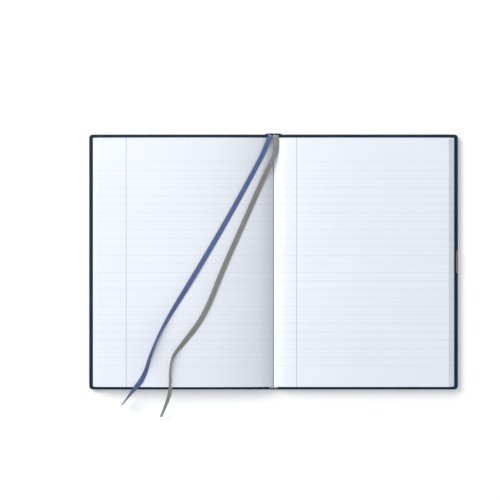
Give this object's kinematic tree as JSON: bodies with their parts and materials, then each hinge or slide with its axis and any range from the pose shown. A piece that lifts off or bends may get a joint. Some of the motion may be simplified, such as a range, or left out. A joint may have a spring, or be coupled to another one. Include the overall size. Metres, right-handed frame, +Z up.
{
  "type": "logbook",
  "caption": "Hard-bound record book with padded leatherette covers, sewn ruled sections, head and tail bands and ribbon markers, lying open; both joints close it.",
  "frame": {"origin": "on the surface it lies on, under the gutter, halfway up the page", "axes": "+X across the spread towards the back cover's fore-edge, +Y up the page to the head, +Z up"},
  "size_m": [0.3124, 0.2386, 0.0084],
  "materials": {
    "cover_leatherette": "fine-grained navy leatherette, soft satin",
    "cover_foam": "matte foam",
    "greyboard": "matte",
    "hinge_cloth": "open weave, matte",
    "endpaper": "matte",
    "page_paper": "matte, ruled pale grey-blue",
    "spine_card": "matte",
    "liner_paper": "matte kraft",
    "band_cloth": "ribbed weave",
    "blue_ribbon_cloth": "woven, slight sheen",
    "grey_ribbon_cloth": "woven, slight sheen",
    "tab_cloth": "woven tape"
  },
  "bodies": {
    "back_cover": {"back_board": "greyboard", "back_pad": "cover_foam", "back_cover_skin": "cover_leatherette", "back_mull": "hinge_cloth", "back_pastedown": "endpaper", "back_flyleaf": "endpaper", "edge_tab": "tab_cloth", "section_12": "page_paper"},
    "spine": {"spine_skin": "cover_leatherette", "spine_strip": "spine_card", "spine_liner": "liner_paper", "head_band": "band_cloth", "tail_band": "band_cloth"},
    "front_cover": {"front_board": "greyboard", "front_pad": "cover_foam", "front_cover_skin": "cover_leatherette", "front_mull": "hinge_cloth", "front_pastedown": "endpaper", "front_flyleaf": "endpaper", "section_01": "page_paper", "blue_ribbon": "blue_ribbon_cloth", "grey_ribbon": "grey_ribbon_cloth"},
    "section_11": {"section_11": "page_paper"},
    "section_02": {"section_02": "page_paper"},
    "section_10": {"section_10": "page_paper"},
    "section_03": {"section_03": "page_paper"},
    "section_09": {"section_09": "page_paper"},
    "section_04": {"section_04": "page_paper"},
    "section_08": {"section_08": "page_paper"},
    "section_05": {"section_05": "page_paper"},
    "section_07": {"section_07": "page_paper"},
    "section_06": {"section_06": "page_paper"}
  },
  "joints": [
    {"name": "back_joint", "type": "hinge", "parent": "back_cover", "child": "spine", "pos_m": [0.0051, 0, 0.0034], "axis": [0, 1, 0], "range_deg": [0, 90]},
    {"name": "front_joint", "type": "hinge", "parent": "spine", "child": "front_cover", "pos_m": [-0.0051, 0, 0.0034], "axis": [0, 1, 0], "range_deg": [0, 90]},
    {"name": "section_11_shift", "type": "slide", "parent": "back_cover", "child": "section_11", "axis": [1, 0, 0], "range_m": [0, 0.0008]},
    {"name": "section_02_shift", "type": "slide", "parent": "front_cover", "child": "section_02", "axis": [-1, 0, 0], "range_m": [0, 0.0008]},
    {"name": "section_10_shift", "type": "slide", "parent": "back_cover", "child": "section_10", "axis": [1, 0, 0], "range_m": [0, 0.0016]},
    {"name": "section_03_shift", "type": "slide", "parent": "front_cover", "child": "section_03", "axis": [-1, 0, 0], "range_m": [0, 0.0016]},
    {"name": "section_09_shift", "type": "slide", "parent": "back_cover", "child": "section_09", "axis": [1, 0, 0], "range_m": [0, 0.0024]},
    {"name": "section_04_shift", "type": "slide", "parent": "front_cover", "child": "section_04", "axis": [-1, 0, 0], "range_m": [0, 0.0024]},
    {"name": "section_08_shift", "type": "slide", "parent": "back_cover", "child": "section_08", "axis": [1, 0, 0], "range_m": [0, 0.0032]},
    {"name": "section_05_shift", "type": "slide", "parent": "front_cover", "child": "section_05", "axis": [-1, 0, 0], "range_m": [0, 0.0032]},
    {"name": "section_07_shift", "type": "slide", "parent": "back_cover", "child": "section_07", "axis": [1, 0, 0], "range_m": [0, 0.004]},
    {"name": "section_06_shift", "type": "slide", "parent": "front_cover", "child": "section_06", "axis": [-1, 0, 0], "range_m": [0, 0.004]}
  ],
  "couplings": [
    {"joint": "section_11_shift", "follows": "back_joint", "m_per_rad": 0.00050929},
    {"joint": "section_02_shift", "follows": "front_joint", "m_per_rad": 0.00050929},
    {"joint": "section_10_shift", "follows": "back_joint", "m_per_rad": 0.0010186},
    {"joint": "section_03_shift", "follows": "front_joint", "m_per_rad": 0.0010186},
    {"joint": "section_09_shift", "follows": "back_joint", "m_per_rad": 0.0015279},
    {"joint": "section_04_shift", "follows": "front_joint", "m_per_rad": 0.0015279},
    {"joint": "section_08_shift", "follows": "back_joint", "m_per_rad": 0.0020372},
    {"joint": "section_05_shift", "follows": "front_joint", "m_per_rad": 0.0020372},
    {"joint": "section_07_shift", "follows": "back_joint", "m_per_rad": 0.0025465},
    {"joint": "section_06_shift", "follows": "front_joint", "m_per_rad": 0.0025465}
  ]
}
